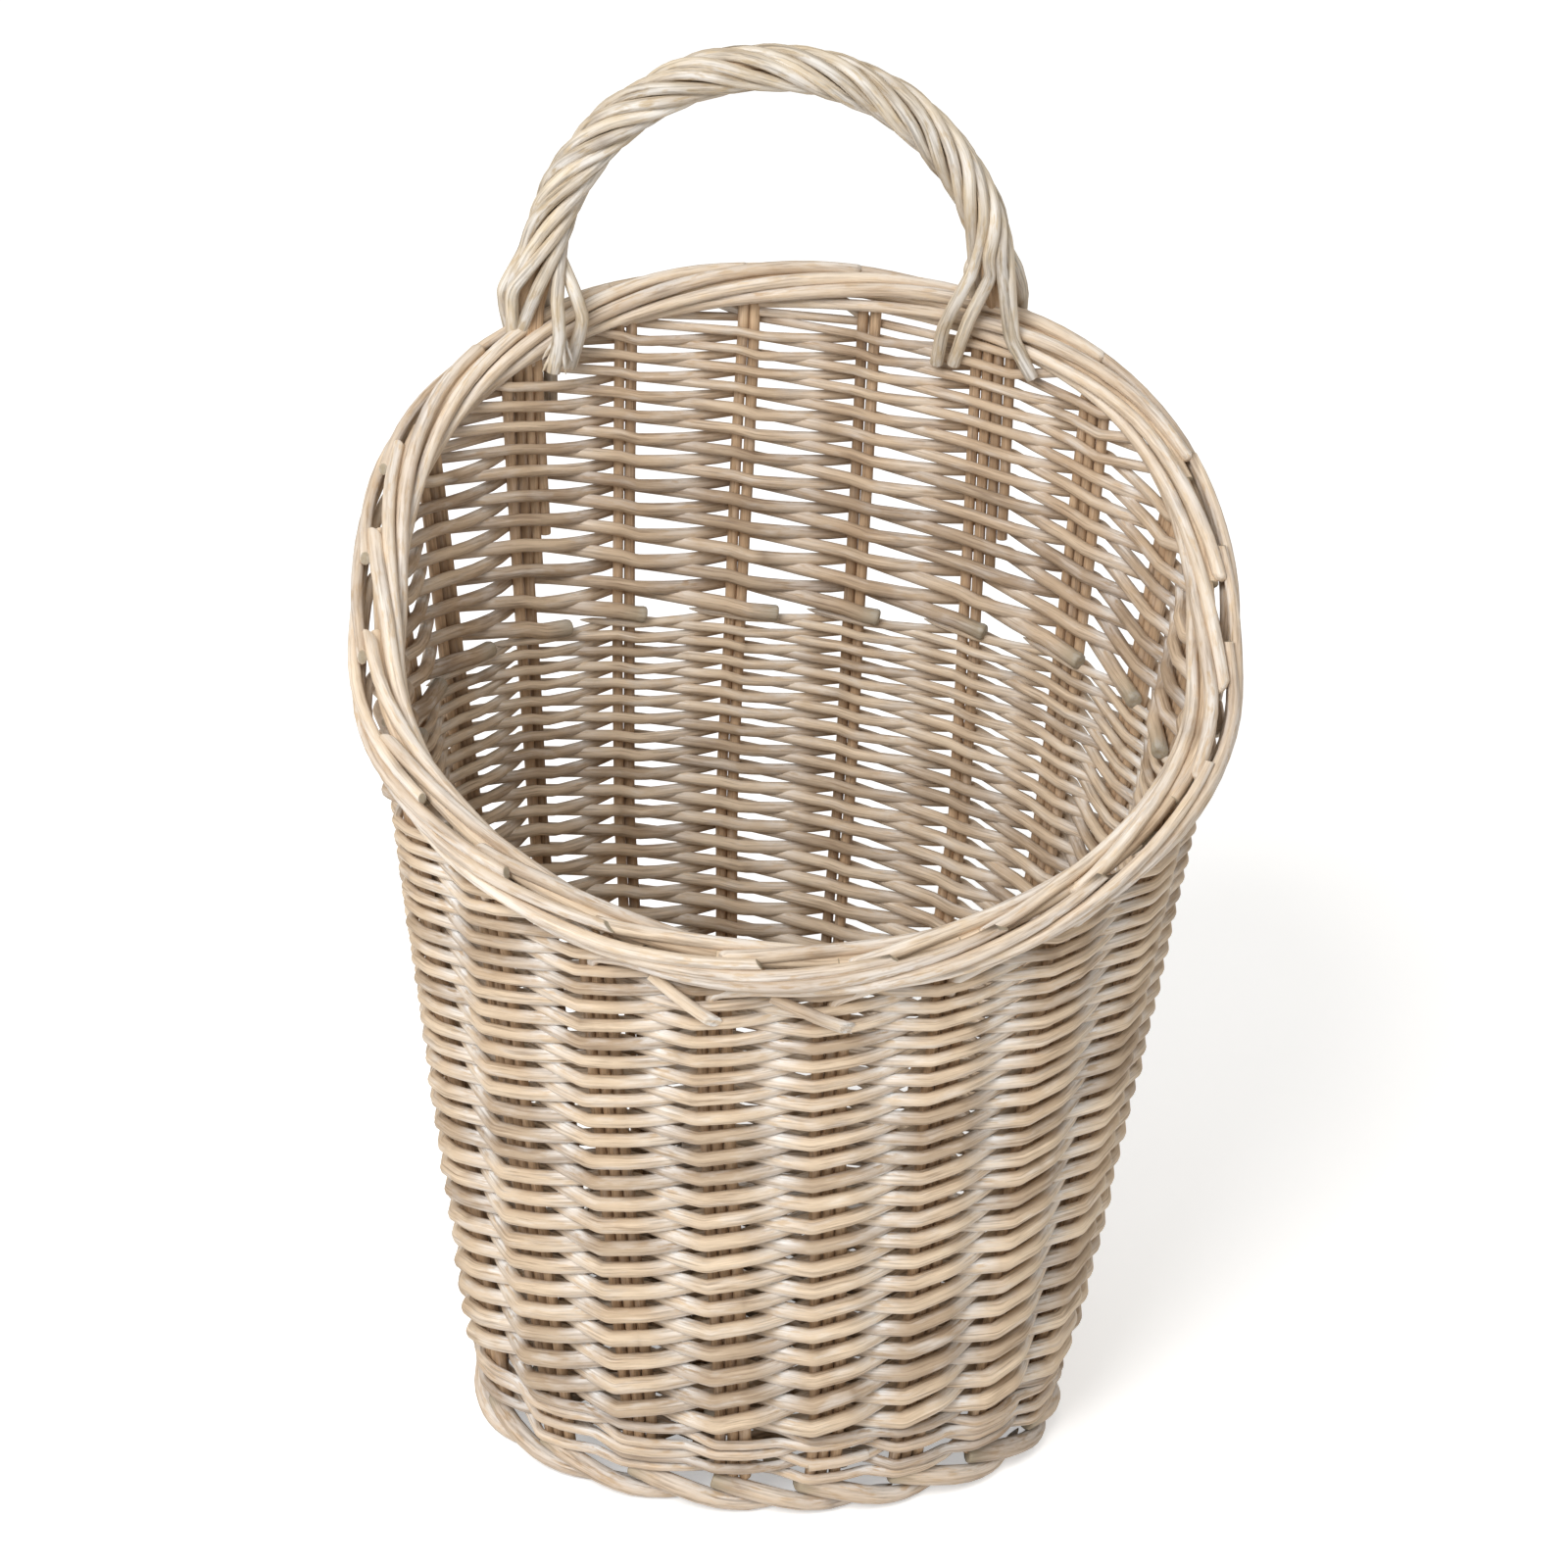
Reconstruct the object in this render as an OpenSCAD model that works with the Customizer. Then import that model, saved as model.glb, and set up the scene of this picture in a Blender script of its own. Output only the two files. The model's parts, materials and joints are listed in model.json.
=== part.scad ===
// Wall-hanging willow gathering basket with a roped arch handle.
// Flat-backed D plan, high back and low front, standing on the floor plane z = 0.
// X runs left to right, +Y points to the flat back, +Z is up. All lengths in millimetres.

/* [Body plan] */
// Half width of the stake line on the floor plane
foot_half_w = 100.4; // [95:0.1:110]
// Half width of the stake line at the reference height
body_half_w = 136.2; // [128:0.1:148]
// Reach of the stake line in front of the side points, on the floor plane
foot_front = 64; // [60:0.5:70]
// Reach of the stake line in front of the side points, at the reference height
body_front = 89.3; // [84:0.1:96]
// Reach of the stake line behind the side points, on the floor plane
foot_back = 124.6; // [118:0.1:132]
// Reach of the stake line behind the side points, at the reference height
body_back = 141.5; // [136:0.1:148]
// Height at which the three reference sizes hold
ref_h = 276; // [250:1:300]
// Squareness of the back corners: smaller is squarer
back_power = 0.57; // [0.5:0.01:0.64]
// Distance from the side points back to the middle of the overall depth
depth_shift = 31.2; // [28:0.1:34]

/* [Rim] */
// Height of the rim's centre line at the front
rim_front_h = 235.1; // [233:0.1:240]
// Height of the rim's centre line at the back
rim_back_h = 380.4; // [378:0.1:384]
// How far the rim's slope bends from straight: up towards the front, down towards the back
rim_bend = 0.04; // [0:0.01:0.06]
// Radius of one border rod
border_r = 2.7; // [2.3:0.1:2.8]
// Radius of the circle that the border rods are wound on
border_wind_r = 6.6; // [6:0.1:6.9]
// Number of stake gaps that one border rod covers
border_reach = 5; // [4:1:6]
// Angle that a border rod winds through, from low outside to low inside
border_turn = 300; // [280:5:310]

/* [Stakes] */
// Number of stake groups around the body
stake_count = 20; // [20:1:20]
// Radius of a stake or bye-stake
stake_r = 2; // [1.8:0.1:2.1]
// Spacing of the rods in one stake group
stake_pitch = 4.3; // [4.3:0.1:4.6]
// Place of the first stake, in stake gaps to the left of the back centre
stake_phase = 0.34; // [0.3:0.01:0.4]
// Height of the stakes' lower ends
stake_foot_z = 9; // [8.5:0.1:10]
// How far below the rim's centre line the stakes end
stake_top_gap = 10.5; // [10.3:0.1:14]
// Height at which the short pegs beside the stakes under the handle begin
peg_z = 284; // [270:1:300]

/* [Lower siding] */
// Height of the underside of the first lower course
lower_z = 33; // [32.5:0.1:36]
// Number of lower courses
lower_rows = 53; // [53:1:53]
// Number of lower courses that go right round, below the front of the rim
lower_hoops = 42; // [41:1:43]
// Thickness of the first lower course
lower_first = 5.45; // [5.2:0.05:5.5]
// Thickness of the last lower course
lower_last = 2.95; // [2.9:0.05:3.05]

/* [Upper siding] */
// Number of upper courses, on the back and sides only
upper_rows = 24; // [22:1:24]
// Thickness of the first upper course
upper_first = 6.2; // [6:0.05:6.3]
// Thickness of the last upper course
upper_last = 3.4; // [3.3:0.05:3.5]

/* [Upset and foot] */
// Height of the underside of the first wale row
wale_z = 13.5; // [13.2:0.1:14]
// Thickness of a wale row
wale_t = 4.4; // [4:0.1:4.4]
// Number of wale rows
wale_rows = 4; // [3:1:4]
// Height of a foot border rod
foot_h = 7.4; // [6.5:0.1:8]
// Width of a foot border rod
foot_w = 3.5; // [3:0.1:3.6]
// Number of stake gaps that one foot border rod covers
foot_reach = 2.2; // [2:0.1:2.3]

/* [Base] */
// Height of the centre line of the base sticks
base_z = 16.5; // [16:0.1:17]
// Radius of a base stick
base_stick_r = 3.2; // [2.8:0.1:3.3]
// Spacing of the base sticks
base_stick_gap = 25; // [22:0.5:26]
// Number of base sticks on each side of the middle one
base_side_sticks = 3; // [2:1:3]
// Spacing of the base weaving rods
base_weave_pitch = 4.8; // [4.6:0.1:6]
// Thickness of a base weaving rod
base_weave_t = 3.6; // [3:0.1:3.8]

/* [Handle] */
// Sideways place of the handle's middle
handle_x = -11; // [-20:1:0]
// Place of the handle's plane behind the side points
handle_depth = 127; // [124:0.5:130]
// Radius of the arch, measured to the middle of the rope
arch_r = 80; // [74:1:84]
// Height of the arch's centre
arch_z = 388.5; // [386:0.5:394]
// Half spacing of the rope's feet
leg_half_gap = 84; // [82:0.5:86]
// How far below the border's centre line the core rods end
core_tail_len = 28; // [20:1:36]
// Radius of a core rod
core_r = 2.1; // [1.9:0.1:2.2]
// Radius of the circle that the rope strands are wound on
rope_wind_r = 6.6; // [6.5:0.1:6.9]
// Width of a rope strand
strand_w = 6.6; // [6:0.1:6.7]
// Thickness of a rope strand
strand_t = 3.4; // [3:0.1:3.5]
// Number of turns that each strand makes from foot to foot
rope_turns = 3; // [2.5:0.25:4]

/* [Hidden] */

gap = 0.3;                       // clearance between a woven rod and the stake it passes
course_gap = 0.2;                // clearance between two courses
plan_steps = 120;                // steps in the table that turns a share of the outline to an angle
table_z = 200;                   // height at which the stakes are evenly spaced
left_leg = 2;                    // stake group that the handle's left leg stands on
right_leg = stake_count - 2;     // stake group that the handle's right leg stands on
rope_sides = 6;
border_sides = 5;
border_steps = 4;                // rings of a border rod per stake gap
border_out = 2;                  // how far outside the stake line the border is centred

// ---- plan of the body ----

// Angle round the plan for w in 0..360, spread so that the steep back corners get enough points
function plan_angle(w) = w < 180 ? 90 * (1 - cos(w)) : w;
function along_height(low, high, z) = low + (high - low) * z / ref_h;
function wall(w, z) =
    let (
        v = w - 360 * floor(w / 360),
        t = plan_angle(v),
        s = sin(t),
        y = s < 0 ? along_height(foot_front, body_front, z) * s
                  : along_height(foot_back, body_back, z) * pow(s, back_power)
    )
    [along_height(foot_half_w, body_half_w, z) * cos(t), y - depth_shift, z];
function unit(v) = v / norm(v);
near = 1.5;                      // half the step in w over which a direction round the plan is taken
function wall_tangent(w, z) = unit(wall(w + near, z) - wall(w - near, z));
function wall_out(w, z) = let (d = wall_tangent(w, z)) [d[1], -d[0], 0];

// Table of [share of the outline from the back centre, w], going left round the body
outline_w = [for (i = [0:plan_steps]) 90 + 360 * i / plan_steps];
outline_steps = [for (i = [1:plan_steps]) norm(wall(outline_w[i], table_z) - wall(outline_w[i - 1], table_z))];
function running(v, i = 0, sum = 0) = i == len(v) ? [sum] : concat([sum], running(v, i + 1, sum + v[i]));
outline_sums = running(outline_steps);
outline_table = [for (i = [0:plan_steps]) [outline_sums[i] / outline_sums[plan_steps], outline_w[i]]];
function w_at(share) = lookup(share - floor(share), outline_table);

// Angle w of stake group j, which may be a fraction and may run past the last group
function stake_w(j) = w_at((j + stake_phase) / stake_count);
function rim_z(w) =
    let (share = (wall(w, ref_h)[1] + depth_shift + body_front) / (body_front + body_back))
    rim_front_h + (rim_back_h - rim_front_h) * (share + rim_bend * sin(360 * share));

// ---- stakes ----

function is_leg(j) = j == left_leg || j == right_leg;
function is_back(j) = j < left_leg || j > right_leg;
function rods_in(j) = is_leg(j) || is_back(j) ? 2 : 3;
function half_group(j) = (rods_in(j) - 1) * stake_pitch / 2 + stake_r;

// Reach of group j from its middle at height z: the two pegs of a leg stand on its right
peg_lead = 8;                    // how far below the pegs the courses already make room for them
function group_reach(j, z, edge) =
    half_group(j) + (is_leg(j) && edge < 0 && z > peg_z - peg_lead ? 2 * stake_pitch : 0);

module rod_between(p, q, r) {
    d = q - p;
    translate(p)
        rotate([0, acos(d[2] / norm(d)), atan2(d[1], d[0])])
            cylinder(h = norm(d), r = r);
}

// Rod of stake group j at a distance side from its middle, from foot_z up to the border
module upright(j, side, foot_z) {
    w = stake_w(j);
    top_z = rim_z(w) - stake_top_gap;
    rod_between(
        wall(w, foot_z) + side * wall_tangent(w, stake_foot_z),
        wall(w, top_z) + side * wall_tangent(w, stake_foot_z),
        stake_r
    );
}
module stake_rod(j, i) {
    upright(j, (i - (rods_in(j) - 1) / 2) * stake_pitch, stake_foot_z);
}
module leg_stakes(j) {
    for (i = [0, 1]) stake_rod(j, i);
    for (i = [1, 2]) upright(j, -(i + 0.5) * stake_pitch, peg_z);
}

module main_stakes(groups) {
    for (j = groups) stake_rod(j, 0);
}

module bye_stakes(groups) {
    for (j = groups)
        for (i = [1:rods_in(j) - 1]) stake_rod(j, i);
}

module front_stakes() { color("#b08a63") main_stakes([7:13]); }
module front_bye_stakes() { color("#b9946c") bye_stakes([7:13]); }
module left_side_stakes() { color("#b08a63") main_stakes([3:6]); }
module left_side_bye_stakes() { color("#b9946c") bye_stakes([3:6]); }
module right_side_stakes() { color("#b08a63") main_stakes([14:17]); }
module right_side_bye_stakes() { color("#b9946c") bye_stakes([14:17]); }
module back_stakes() { color("#b08a63") main_stakes([0, 1, 19]); }
module back_bye_stakes() { color("#b9946c") bye_stakes([0, 1, 19]); }
module left_leg_stakes() { color("#a9825c") leg_stakes(left_leg); }
module right_leg_stakes() { color("#a9825c") leg_stakes(right_leg); }

// ---- courses woven in and out of the stakes ----

// Corner of a course at stake group j: on its side of the stakes, at one edge of the group
function course_point(j, z, out, edge) =
    let (w = stake_w(j), n = wall_out(w, z), s = wall_tangent(w, z))
    wall(w, z) + out * n + edge * group_reach(j % stake_count, z, edge) * s;
function flat(p) = [p[0], p[1]];

// Edge of a course that passes groups js; side(j) is 1 outside a group and -1 inside it
function course_edge(js, sides, z, t, grow) = [
    for (i = [0:len(js) - 1])
        for (edge = [-1, 1])
            flat(course_point(js[i], z, sides[i] * (stake_r + gap + t / 2) + grow, edge))
];

module course_hoop(groups, sides, z, t) {
    outer = course_edge(groups, sides, z, t, t / 2);
    inner = course_edge(groups, sides, z, t, -t / 2);
    n = len(outer);
    translate([0, 0, z])
        linear_extrude(height = t - course_gap)
            polygon(
                points = concat(outer, inner),
                paths = [[for (i = [0:n - 1]) i], [for (i = [0:n - 1]) n + i]]
            );
}

module course_strip(groups, sides, z, t) {
    outer = course_edge(groups, sides, z, t, t / 2);
    inner = course_edge(groups, sides, z, t, -t / 2);
    n = len(inner);
    translate([0, 0, z])
        linear_extrude(height = t - course_gap)
            polygon(concat(outer, [for (i = [1:n]) inner[n - i]]));
}

// Thickness and underside of course n in a band of courses that thin evenly upwards
function course_t(n, count, first, last) = first + (last - first) * n / (count - 1);
function course_z(n, count, first, last, z0) = z0 + n * first + (last - first) * n * (n - 1) / 2 / (count - 1);
function randed_sides(groups, n) = [for (j = groups) (j + n) % 2 == 0 ? -1 : 1];

lower_top = course_z(lower_rows, lower_rows, lower_first, lower_last, lower_z);

// Stake groups, round the back from right to left, whose rods stand above a course; never the front one
front_group = 9;
function groups_above(z) = [
    for (j = [front_group + 1:front_group + stake_count - 1])
        if (rim_z(stake_w(j)) - stake_top_gap > z + 1) j
];

module lower_course(n) {
    z = course_z(n, lower_rows, lower_first, lower_last, lower_z);
    t = course_t(n, lower_rows, lower_first, lower_last);
    groups = [for (j = [0:stake_count - 1]) j];
    if (n < lower_hoops) course_hoop(groups, randed_sides(groups, n), z, t);
    else partial_course(z, t, n);
}

module upper_course(n) {
    z = course_z(n, upper_rows, upper_first, upper_last, lower_top);
    t = course_t(n, upper_rows, upper_first, upper_last);
    partial_course(z, t, n);
}

module partial_course(z, t, n) {
    groups = groups_above(z + t);
    if (len(groups) > 1) course_strip(groups, randed_sides(groups, n), z, t);
}

module lower_siding_thick() { color("#c2a57d") for (n = [0:14]) lower_course(n); }
module lower_siding_middle() { color("#c9ae88") for (n = [15:29]) lower_course(n); }
module lower_siding_thin() { color("#cdb592") for (n = [30:lower_hoops - 1]) lower_course(n); }
module lower_siding_tips() { color("#d3bd9c") for (n = [lower_hoops:lower_rows - 1]) lower_course(n); }
module upper_siding_thick() { color("#bf9f7a") for (n = [0:7]) upper_course(n); }
module upper_siding_middle() { color("#c8ab86") for (n = [8:15]) upper_course(n); }
module upper_siding_thin() { color("#d0b893") for (n = [16:upper_rows - 1]) upper_course(n); }

// ---- upset: rows that pass outside two groups and inside the next ----

module wale_row(n) {
    groups = [for (j = [n:n + stake_count - 1]) j];
    sides = [for (j = groups) (j + n) % 3 == 0 ? -1 : 1];
    course_strip(groups, sides, wale_z + n * wale_t, wale_t);
}

module upset_wale_lower() { color("#b79d79") for (n = [0:1]) wale_row(n); }
module upset_wale_upper() { color("#bda37f") for (n = [2:wale_rows - 1]) wale_row(n); }

// ---- foot border: flat-bottomed rods, each starting inside the one before ----

foot_steps = 8;
foot_in = -4.6;                  // offset of a foot rod's butt end from the stake line
foot_out = 4.4;                  // offset of its tip
function foot_edge(j, grow) = [
    for (i = [0:foot_steps])
        let (share = i / foot_steps, w = stake_w(j + share * foot_reach))
        flat(wall(w, 0) + (foot_in + (foot_out - foot_in) * share + grow) * wall_out(w, 0))
];

module foot_border_rods() {
    color("#c4a179")
        for (j = [0:stake_count - 1]) {
            outer = foot_edge(j, foot_w / 2);
            inner = foot_edge(j, -foot_w / 2);
            linear_extrude(height = foot_h)
                polygon(concat(outer, [for (i = [0:foot_steps]) inner[foot_steps - i]]));
        }
}

// ---- base: straight sticks from front to back, with rods woven across them ----

base_inset = 12;                 // how far the base stays inside the stake line
base_a = along_height(foot_half_w, body_half_w, base_z) - base_inset;
base_f = along_height(foot_front, body_front, base_z) - base_inset;
base_b = along_height(foot_back, body_back, base_z) - base_inset;
stick_numbers = [-base_side_sticks:base_side_sticks];
function base_front_y(x) = -base_f * sqrt(1 - pow(x / base_a, 2));
function base_back_y(x) = base_b * pow(1 - pow(x / base_a, 2), back_power / 2);
function base_reach_x(y) =
    base_a * sqrt(1 - (y < 0 ? pow(y / base_f, 2) : pow(y / base_b, 2 / back_power)));

module base_sticks() {
    color("#a88660")
        for (i = stick_numbers) {
            x = i * base_stick_gap;
            translate([x, base_front_y(x) - depth_shift, base_z])
                rotate([-90, 0, 0])
                    cylinder(h = base_back_y(x) - base_front_y(x), r = base_stick_r);
        }
}

base_edge = 6;                   // bare length at the front and back ends of the middle stick
weave_y0 = -base_f + base_edge;
weave_rows = floor((base_b + base_f - 2 * base_edge) / base_weave_pitch);
weave_rise = base_stick_r + gap + base_weave_t / 2;

// One rod woven across the sticks: a zigzag seen from the front, one pitch deep
module base_row(n) {
    y = weave_y0 + n * base_weave_pitch;
    reach = base_reach_x(y);
    inner_sticks = [for (i = stick_numbers) if (abs(i) * base_stick_gap + base_stick_r < reach) i];
    line = [
        for (i = inner_sticks)
            for (edge = [-1, 1])
                [i * base_stick_gap + edge * base_stick_r, base_z + weave_rise * ((i + n) % 2 == 0 ? 1 : -1)]
    ];
    ends = [[-reach, line[0][1]], [reach, line[len(line) - 1][1]]];
    path = concat([ends[0]], line, [ends[1]]);
    m = len(path) - 1;
    translate([0, y - depth_shift, 0])
        rotate([90, 0, 0])
            linear_extrude(height = base_weave_pitch - course_gap)
                polygon(concat(
                    [for (p = path) p + [0, base_weave_t / 2]],
                    [for (i = [0:m]) path[m - i] - [0, base_weave_t / 2]]
                ));
}

third = floor(weave_rows / 3);
module base_weavers_front() { color("#c5ab86") for (n = [0:third - 1]) base_row(n); }
module base_weavers_middle() { color("#bfa47e") for (n = [third:2 * third - 1]) base_row(n); }
module base_weavers_back() { color("#c5ab86") for (n = [2 * third:weave_rows - 1]) base_row(n); }

// ---- round rods swept along a path ----

// Ring of points round p, in the plane square to the direction d; half sizes a along side and b across it
function ring(p, d, side, a, b, n) =
    let (u = unit(side - (side * d) * d), v = cross(d, u))
    [for (k = [0:n - 1]) let (q = 360 * k / n) p + a * cos(q) * u + b * sin(q) * v];
function direction(path, i) = unit(path[min(i + 1, len(path) - 1)] - path[max(i - 1, 0)]);
function sweep_points(path, sides, a, b, n) = [
    for (i = [0:len(path) - 1])
        for (q = ring(path[i], direction(path, i), sides[i], a, b, n)) q
];
function sweep_faces(rings, n, start) = concat(
    [[for (k = [0:n - 1]) start + k]],
    [
        for (i = [0:rings - 2])
            for (k = [0:n - 1])
                let (p = start + i * n, next = (k + 1) % n)
                for (f = [[p + k, p + n + k, p + n + next], [p + k, p + n + next, p + next]]) f
    ],
    [[for (k = [0:n - 1]) start + rings * n - 1 - k]]
);

// All the rods of a node as one polyhedron with a closed shell for each rod
module sweeps(paths, sides, a, b, n) {
    rings = len(paths[0]);
    polyhedron(
        points = [for (i = [0:len(paths) - 1]) for (q = sweep_points(paths[i], sides[i], a, b, n)) q],
        faces = [for (i = [0:len(paths) - 1]) for (f = sweep_faces(rings, n, i * rings * n)) f]
    );
}

// ---- border: each rod starts low outside, winds over the rim and ends low inside ----

border_start = -30;              // winding angle of a border rod's butt end; 0 points outwards, 90 up
border_rings = border_reach * border_steps;
function border_centre(w) = wall(w, rim_z(w)) + border_out * wall_out(w, rim_z(w));
function border_point(j, i) =
    let (
        share = i / border_rings,
        w = stake_w(j + share * border_reach),
        c = border_centre(w),
        d = unit(border_centre(w + near) - border_centre(w - near)),
        n = wall_out(w, rim_z(w)),
        q = border_start + border_turn * share
    )
    c + border_wind_r * (cos(q) * n + sin(q) * unit(cross(n, d)));
function border_path(j) = [for (i = [0:border_rings]) border_point(j, i)];

module border_rods(groups) {
    paths = [for (j = groups) border_path(j)];
    ups = [for (p = paths) [for (q = p) [0, 0, 1]]];
    sweeps(paths, ups, border_r, border_r, border_sides);
}

module front_border_rods() { color("#d8c29c") border_rods([6:10]); }
module left_border_rods() { color("#d2bb95") border_rods([1:5]); }
module right_border_rods() { color("#d2bb95") border_rods([11:15]); }
module back_border_rods() { color("#cbb28b") border_rods([16:20]); }

// ---- handle ----

handle_y = handle_depth - depth_shift;
foot_lift = 11;                  // height of the rope's feet above the border's centre line
left_anchor = border_centre(stake_w(left_leg));
right_anchor = border_centre(stake_w(right_leg));
left_foot = [handle_x - leg_half_gap, left_anchor[1], left_anchor[2] + foot_lift];
right_foot = [handle_x + leg_half_gap, right_anchor[1], right_anchor[2] + foot_lift];
left_spring = [handle_x - arch_r, handle_y, arch_z];
right_spring = [handle_x + arch_r, handle_y, arch_z];
left_len = norm(left_spring - left_foot);
right_len = norm(right_spring - right_foot);
arch_len = PI * arch_r;
rope_len = left_len + arch_len + right_len;

// Point on the handle's centre line, l from the left foot of the rope
function handle_point(l) =
    l < left_len ? left_foot + (left_spring - left_foot) * l / left_len
    : l > left_len + arch_len ? right_foot + (right_spring - right_foot) * (rope_len - l) / right_len
    : let (q = 180 * (l - left_len) / arch_len)
        [handle_x - arch_r * cos(q), handle_y, arch_z + arch_r * sin(q)];
function handle_out(l, q) =
    let (d = unit(handle_point(l + 1) - handle_point(l - 1)))
    cos(q) * unit(cross(d, [0, 1, 0])) + sin(q) * [0, 1, 0];
function bezier(a, b, c, d, k) =
    pow(1 - k, 3) * a + 3 * k * pow(1 - k, 2) * b + 3 * k * k * (1 - k) * c + pow(k, 3) * d;

// Core rods: each follows the arch, then passes the border on one side and ends in the weave
core_spread = 2.6;               // distance of each core rod from the handle's centre line
pass_border = 12.6;              // distance at which a rod passes the border's centre line
tail_steps = 8;
arch_steps = 36;
function core_tail(foot, top, x, side, depth) = [
    for (i = [0:tail_steps])
        bezier(
            foot + [x, side * pass_border, -foot_lift - depth],
            foot + [x, side * pass_border, -foot_lift],
            foot + [x * 0.6, side * pass_border * 0.6, -1],
            top,
            i / tail_steps
        )
];
core_inset = 4;                  // how far inside the rope each core rod starts to bend aside
module core_rod(q, side, x) {
    arch = [for (i = [0:arch_steps])
        let (l = core_inset + (rope_len - 2 * core_inset) * i / arch_steps)
        handle_point(l) + core_spread * handle_out(l, q)];
    left = core_tail(left_foot, arch[0], -x, side, core_tail_len);
    right = core_tail(right_foot, arch[arch_steps], x, side, core_tail_len);
    path = concat(
        [for (i = [0:tail_steps - 1]) left[i]],
        arch,
        [for (i = [1:tail_steps]) right[tail_steps - i]]
    );
    sweeps([path], [[for (p = path) [0, 1, 0]]], core_r, core_r, rope_sides);
}

module core_rod_1() { color("#9c7752") core_rod(90, 1, 0); }
module core_rod_2() { color("#9c7752") core_rod(210, -1, -5); }
module core_rod_3() { color("#9c7752") core_rod(330, -1, 5); }

// Rope: flat strands wound side by side round the core
rope_rings = 66;
strands = 5;
function strand_angle(k, share) = 360 * (k / strands - rope_turns * share);

module rope_strand(k) {
    ls = [for (i = [0:rope_rings]) rope_len * i / rope_rings];
    outs = [for (l = ls) handle_out(l, strand_angle(k, l / rope_len))];
    path = [for (i = [0:rope_rings]) handle_point(ls[i]) + rope_wind_r * outs[i]];
    sweeps([path], [outs], strand_t / 2, strand_w / 2, rope_sides);
}

module rope_strand_1() { color("#c9b089") rope_strand(0); }
module rope_strand_2() { color("#bfa47d") rope_strand(1); }
module rope_strand_3() { color("#cdb58f") rope_strand(2); }
module rope_strand_4() { color("#c3a982") rope_strand(3); }
module rope_strand_5() { color("#c9b089") rope_strand(4); }

// Loops that tie the rope's feet down, from beside the rope over the border and down past the weave
loop_r = 2.2;
loop_steps = 20;
loop_start = 24;                 // height above the rope's foot at which a loop starts
loop_depth = 26;                 // how far below the border's centre line it ends
loop_clear = 12.2;               // distance of a loop from the rope's centre line
function loop_path(foot, x, side, drift) = [
    for (i = [0:loop_steps])
        bezier(
            foot + [x, side * loop_clear, loop_start],
            foot + [x, side * loop_clear, 0],
            foot + [x + drift, side * (pass_border + 4.8), -foot_lift],
            foot + [x + drift, side * (pass_border + 3.8), -foot_lift - loop_depth],
            i / loop_steps
        )
];

module tie_loops(paths) {
    sweeps(paths, [for (p = paths) [for (q = p) [0, 1, 0]]], loop_r, loop_r, rope_sides);
}

module left_tuck_loop() { color("#b59a73") tie_loops([loop_path(left_foot, 4, -1, 3)]); }
module left_over_loop() { color("#bfa47d") tie_loops([loop_path(left_foot, -3, 1, -3)]); }
module right_tuck_loops() {
    color("#b59a73") tie_loops([loop_path(right_foot, -6, -1, -3), loop_path(right_foot, 1, -1, 2)]);
}
module right_over_loop() { color("#bfa47d") tie_loops([loop_path(right_foot, 3, 1, 3)]); }

base_sticks();
base_weavers_front();
base_weavers_middle();
base_weavers_back();
foot_border_rods();
upset_wale_lower();
upset_wale_upper();
front_stakes();
front_bye_stakes();
left_side_stakes();
left_side_bye_stakes();
right_side_stakes();
right_side_bye_stakes();
back_stakes();
back_bye_stakes();
left_leg_stakes();
right_leg_stakes();
lower_siding_thick();
lower_siding_middle();
lower_siding_thin();
lower_siding_tips();
upper_siding_thick();
upper_siding_middle();
upper_siding_thin();
front_border_rods();
left_border_rods();
right_border_rods();
back_border_rods();
core_rod_1();
core_rod_2();
core_rod_3();
rope_strand_1();
rope_strand_2();
rope_strand_3();
rope_strand_4();
rope_strand_5();
left_tuck_loop();
left_over_loop();
right_tuck_loops();
right_over_loop();
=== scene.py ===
import json
import math

import bpy
import numpy as np
from mathutils import Matrix, Vector


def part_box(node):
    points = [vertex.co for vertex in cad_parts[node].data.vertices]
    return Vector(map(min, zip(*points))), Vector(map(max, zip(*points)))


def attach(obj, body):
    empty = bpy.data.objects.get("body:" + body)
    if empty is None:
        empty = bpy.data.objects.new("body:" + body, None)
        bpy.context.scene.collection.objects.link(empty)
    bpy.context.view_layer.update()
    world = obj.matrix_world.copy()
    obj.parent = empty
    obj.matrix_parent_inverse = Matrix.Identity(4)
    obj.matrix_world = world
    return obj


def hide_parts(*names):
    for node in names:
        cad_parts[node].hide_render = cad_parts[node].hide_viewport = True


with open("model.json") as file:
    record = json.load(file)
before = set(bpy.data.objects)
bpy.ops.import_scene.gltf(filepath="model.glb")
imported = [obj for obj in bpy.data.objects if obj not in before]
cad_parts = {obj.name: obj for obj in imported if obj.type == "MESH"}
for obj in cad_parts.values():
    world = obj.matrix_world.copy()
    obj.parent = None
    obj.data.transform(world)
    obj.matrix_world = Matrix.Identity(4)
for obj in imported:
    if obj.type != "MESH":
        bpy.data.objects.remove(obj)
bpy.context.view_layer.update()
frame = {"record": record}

# The basket is woven in millimetres and each mesh is made in metres, in the frame of the CAD.
MM = 0.001


def box_mm(*nodes):
    """Lowest and highest corner of some CAD nodes together, in millimetres."""
    corners = [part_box(n) for n in nodes]
    low = np.min([c[0] for c in corners], axis=0) / MM
    high = np.max([c[1] for c in corners], axis=0) / MM
    return low, high


# ---- plan of the body, as in the CAD source ----

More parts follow.
